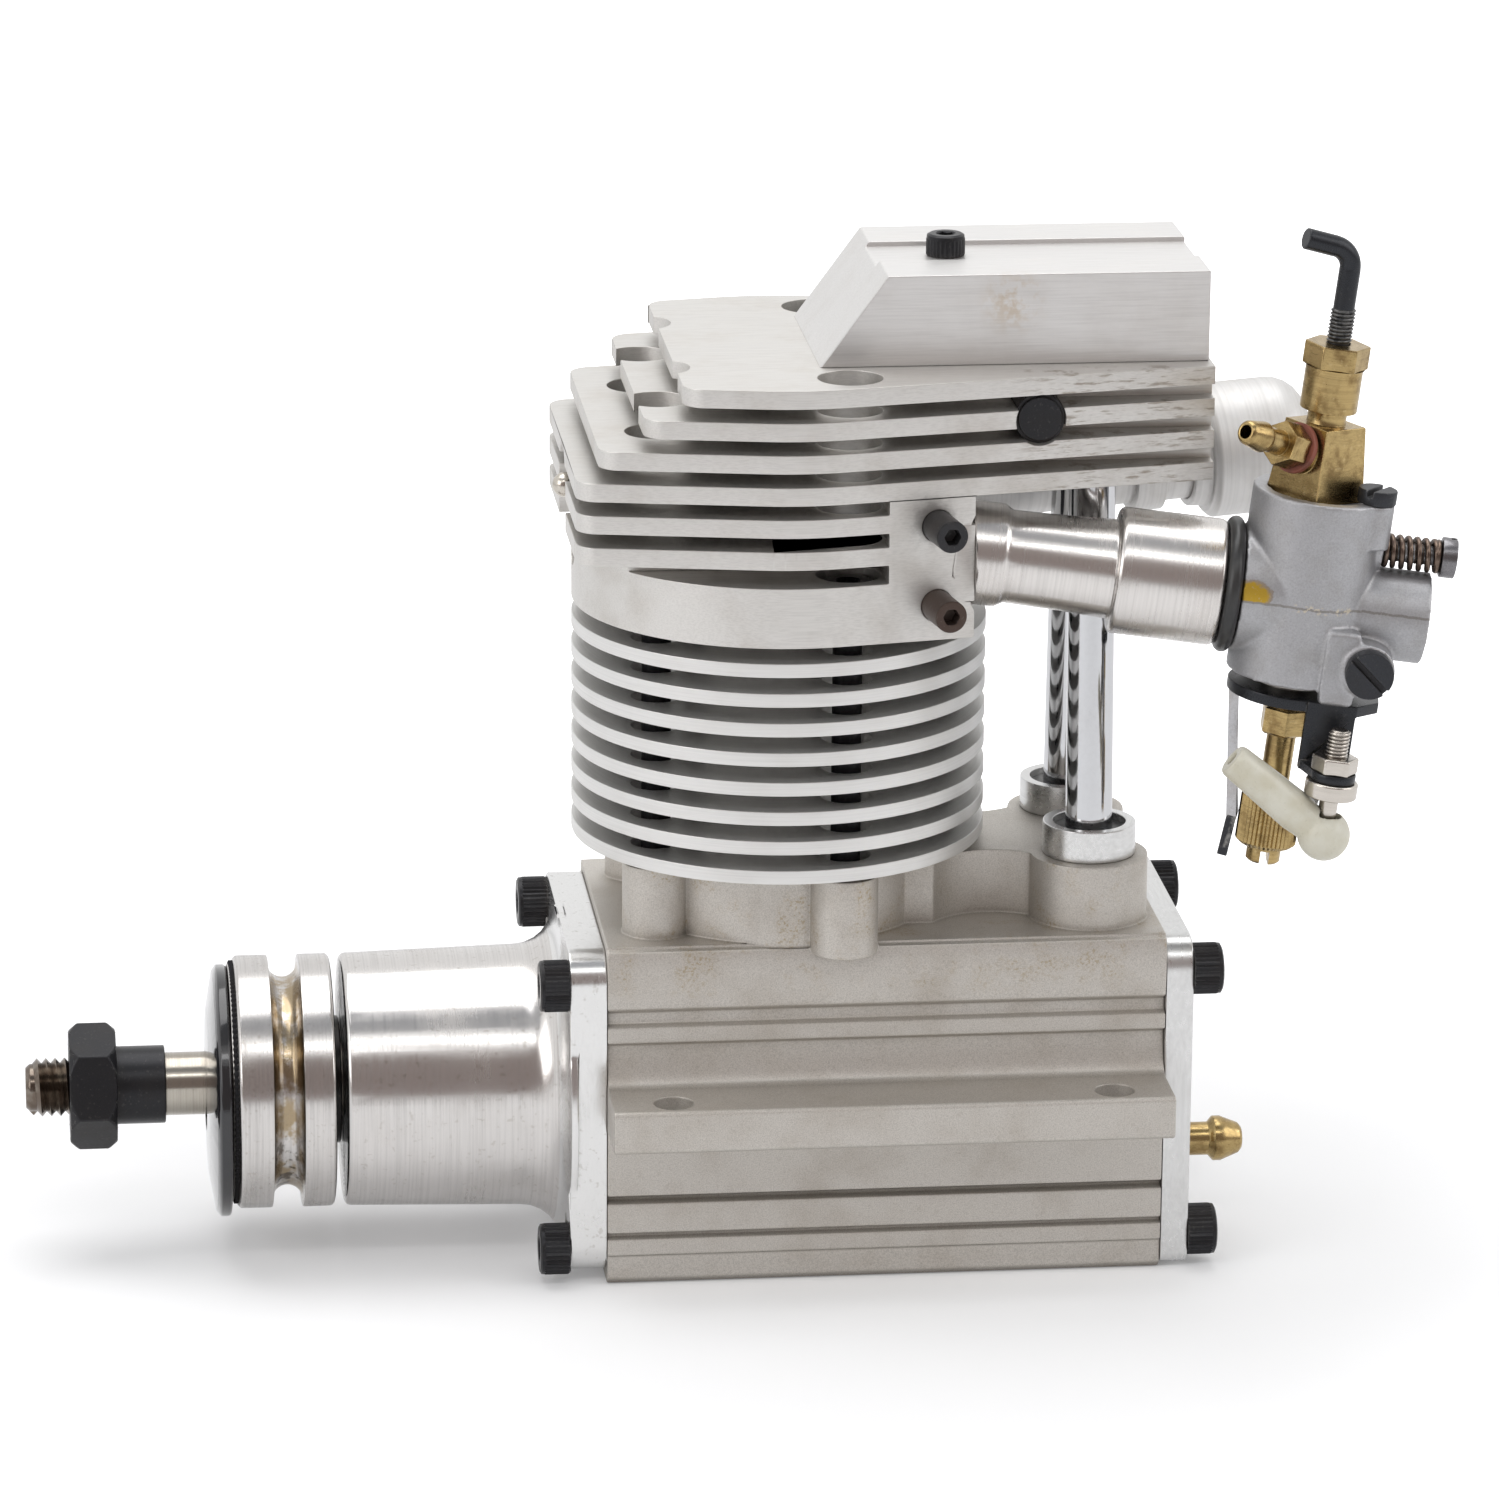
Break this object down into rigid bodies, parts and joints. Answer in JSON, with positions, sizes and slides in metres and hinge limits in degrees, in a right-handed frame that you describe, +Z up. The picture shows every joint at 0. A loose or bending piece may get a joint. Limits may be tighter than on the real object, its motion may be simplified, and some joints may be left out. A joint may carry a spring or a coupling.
{
  "type": "model aircraft engine",
  "caption": "Single-cylinder four-stroke model aircraft engine: finned cylinder and head, beam-mount crankcase, carburettor on a side pipe, pushrod valve gear.",
  "frame": {"origin": "on the flat bottom of the crankcase, under the cylinder axis", "axes": "+X from the propeller towards the carburettor, along the crankshaft; +Y to the exhaust side; +Z up along the cylinder"},
  "size_m": [0.1902, 0.0713, 0.1453],
  "materials": {
    "cast_case": "bead-blasted, slightly warm grey",
    "machined_plate": "fine machined, near white",
    "turned_alloy": "turned and polished",
    "fin_alloy": "satin machined",
    "brushed_cover": "brushed along its length",
    "black_oxide": "black oxide, satin",
    "bearing_steel": "ground",
    "forged_steel": "machined steel",
    "spring_steel": "drawn wire and strip",
    "nickel": "nickel plate",
    "chrome_tube": "polished chrome plate",
    "grey_iron": "honed",
    "piston_alloy": "machined",
    "carburettor_cast": "die-cast, matt",
    "brass": "turned brass with wear",
    "nylon": "natural nylon, aged",
    "fibre": "red vulcanised fibre",
    "rubber": "black nitrile rubber"
  },
  "bodies": {
    "engine": {"crankcase": "cast_case", "front_housing": "machined_plate", "rear_cover": "machined_plate", "crankcase_screws": "black_oxide", "main_bearings": "bearing_steel", "breather_nipple": "brass", "finned_cylinder": "fin_alloy", "cylinder_liner": "grey_iron", "cylinder_head": "fin_alloy", "head_bolts": "black_oxide", "rocker_cover": "brushed_cover", "rocker_cover_screw": "black_oxide", "rocker_shaft": "bearing_steel", "rocker_shaft_plugs": "black_oxide", "intake_valve_spring": "spring_steel", "exhaust_valve_spring": "spring_steel", "pushrod_tubes": "chrome_tube", "tappet_collars": "machined_plate", "cam_pins": "bearing_steel", "glow_plug": "nickel", "intake_manifold": "turned_alloy", "manifold_screws": "black_oxide", "o_rings": "rubber", "exhaust_header": "turned_alloy", "silencer": "turned_alloy", "carburettor_body": "carburettor_cast", "idle_stop_spring": "spring_steel", "carburettor_screws": "black_oxide", "needle_body": "brass", "fuel_nipple": "brass", "fibre_washer": "fibre"},
    "crank": {"crankshaft": "forged_steel", "prop_driver": "turned_alloy", "prop_washer": "black_oxide", "prop_nut": "black_oxide", "timing_shaft": "forged_steel"},
    "piston": {"piston": "piston_alloy", "piston_ring": "grey_iron", "wrist_pin": "bearing_steel"},
    "rod": {"connecting_rod": "piston_alloy"},
    "intake_cam": {"intake_cam": "forged_steel"},
    "exhaust_cam": {"exhaust_cam": "forged_steel"},
    "throttle": {"throttle_barrel": "forged_steel", "throttle_arm": "black_oxide", "click_spring": "spring_steel", "ball_stud": "forged_steel"},
    "idle_needle": {"idle_needle": "brass"},
    "ball_link": {"ball_link": "nylon"},
    "needle": {"needle": "black_oxide"},
    "idle_stop_screw": {"idle_stop_screw": "forged_steel"},
    "intake_tappet": {"intake_tappet": "forged_steel"},
    "intake_pushrod": {"intake_pushrod": "bearing_steel"},
    "intake_rocker": {"intake_rocker": "forged_steel"},
    "intake_valve": {"intake_valve": "forged_steel", "intake_retainer": "forged_steel"},
    "exhaust_tappet": {"exhaust_tappet": "forged_steel"},
    "exhaust_pushrod": {"exhaust_pushrod": "bearing_steel"},
    "exhaust_rocker": {"exhaust_rocker": "forged_steel"},
    "exhaust_valve": {"exhaust_valve": "forged_steel", "exhaust_retainer": "forged_steel"}
  },
  "joints": [
    {"name": "crank_spin", "type": "hinge", "parent": "engine", "child": "crank", "pos_m": [0, 0, 0.0234], "axis": [1, 0, 0], "continuous": true},
    {"name": "piston_slide", "type": "slide", "parent": "engine", "child": "piston", "axis": [0, 0, 1], "range_m": [-0.024, 0]},
    {"name": "rod_swing", "type": "hinge", "parent": "piston", "child": "rod", "pos_m": [0, 0, 0.0802], "axis": [1, 0, 0], "range_deg": [-15.5, 15.5]},
    {"name": "intake_cam_spin", "type": "hinge", "parent": "engine", "child": "intake_cam", "pos_m": [0, -0.0106, 0.0294], "axis": [1, 0, 0], "continuous": true},
    {"name": "intake_tappet_lift", "type": "slide", "parent": "engine", "child": "intake_tappet", "axis": [0, 0, 1], "range_m": [0, 0.002]},
    {"name": "intake_pushrod_lift", "type": "slide", "parent": "engine", "child": "intake_pushrod", "axis": [0, 0.0638, 0.998], "range_m": [0, 0.002]},
    {"name": "intake_rocker_tilt", "type": "hinge", "parent": "engine", "child": "intake_rocker", "pos_m": [0.0319, 0, 0.11965], "axis": [0, -1, 0], "range_deg": [0, 12.3]},
    {"name": "intake_valve_lift", "type": "slide", "parent": "engine", "child": "intake_valve", "axis": [-0.4226, 0, -0.9063], "range_m": [0, 0.00286], "stiffness_N_per_m": 1500, "springref_m": -0.002, "deforming": ["intake_valve_spring"]},
    {"name": "exhaust_cam_spin", "type": "hinge", "parent": "engine", "child": "exhaust_cam", "pos_m": [0, 0.0106, 0.0294], "axis": [1, 0, 0], "continuous": true},
    {"name": "exhaust_tappet_lift", "type": "slide", "parent": "engine", "child": "exhaust_tappet", "axis": [0, 0, 1], "range_m": [0, 0.002]},
    {"name": "exhaust_pushrod_lift", "type": "slide", "parent": "engine", "child": "exhaust_pushrod", "axis": [0, -0.0638, 0.998], "range_m": [0, 0.002]},
    {"name": "exhaust_rocker_tilt", "type": "hinge", "parent": "engine", "child": "exhaust_rocker", "pos_m": [0.0319, 0, 0.11965], "axis": [0, -1, 0], "range_deg": [0, 12.3]},
    {"name": "exhaust_valve_lift", "type": "slide", "parent": "engine", "child": "exhaust_valve", "axis": [-0.4226, 0, -0.9063], "range_m": [0, 0.00286], "stiffness_N_per_m": 1500, "springref_m": -0.002, "deforming": ["exhaust_valve_spring"]},
    {"name": "throttle_turn", "type": "hinge", "parent": "engine", "child": "throttle", "pos_m": [0.06743, -0.02306, 0.09554], "axis": [0.1212, -0.0127, 0.9925], "range_deg": [-40, 35]},
    {"name": "idle_needle_turn", "type": "hinge", "parent": "throttle", "child": "idle_needle", "pos_m": [0.0638, -0.02268, 0.06576], "axis": [0.1212, -0.0127, 0.9925], "range_deg": [-360, 360]},
    {"name": "ball_link_turn", "type": "hinge", "parent": "throttle", "child": "ball_link", "pos_m": [0.06878, -0.03487, 0.0656], "axis": [0.1212, -0.0127, 0.9925], "range_deg": [-8, 100]},
    {"name": "needle_turn", "type": "hinge", "parent": "engine", "child": "needle", "pos_m": [0.06926, -0.02326, 0.11546], "axis": [0.1212, -0.0127, 0.9925], "range_deg": [-360, 720]},
    {"name": "idle_stop_turn", "type": "hinge", "parent": "engine", "child": "idle_stop_screw", "pos_m": [0.08015, -0.0244, 0.10122], "axis": [0.9871, -0.1037, -0.1219], "range_deg": [-360, 360]}
  ],
  "couplings": [
    {"joint": "intake_cam_spin", "follows": "crank_spin", "ratio": -0.5},
    {"joint": "intake_pushrod_lift", "follows": "intake_tappet_lift", "ratio": 1},
    {"joint": "intake_rocker_tilt", "follows": "intake_tappet_lift", "rad_per_m": 106.4},
    {"joint": "intake_valve_lift", "follows": "intake_tappet_lift", "ratio": 1.425},
    {"joint": "exhaust_cam_spin", "follows": "crank_spin", "ratio": -0.5},
    {"joint": "exhaust_pushrod_lift", "follows": "exhaust_tappet_lift", "ratio": 1},
    {"joint": "exhaust_rocker_tilt", "follows": "exhaust_tappet_lift", "rad_per_m": 106.4},
    {"joint": "exhaust_valve_lift", "follows": "exhaust_tappet_lift", "ratio": 1.425}
  ]
}
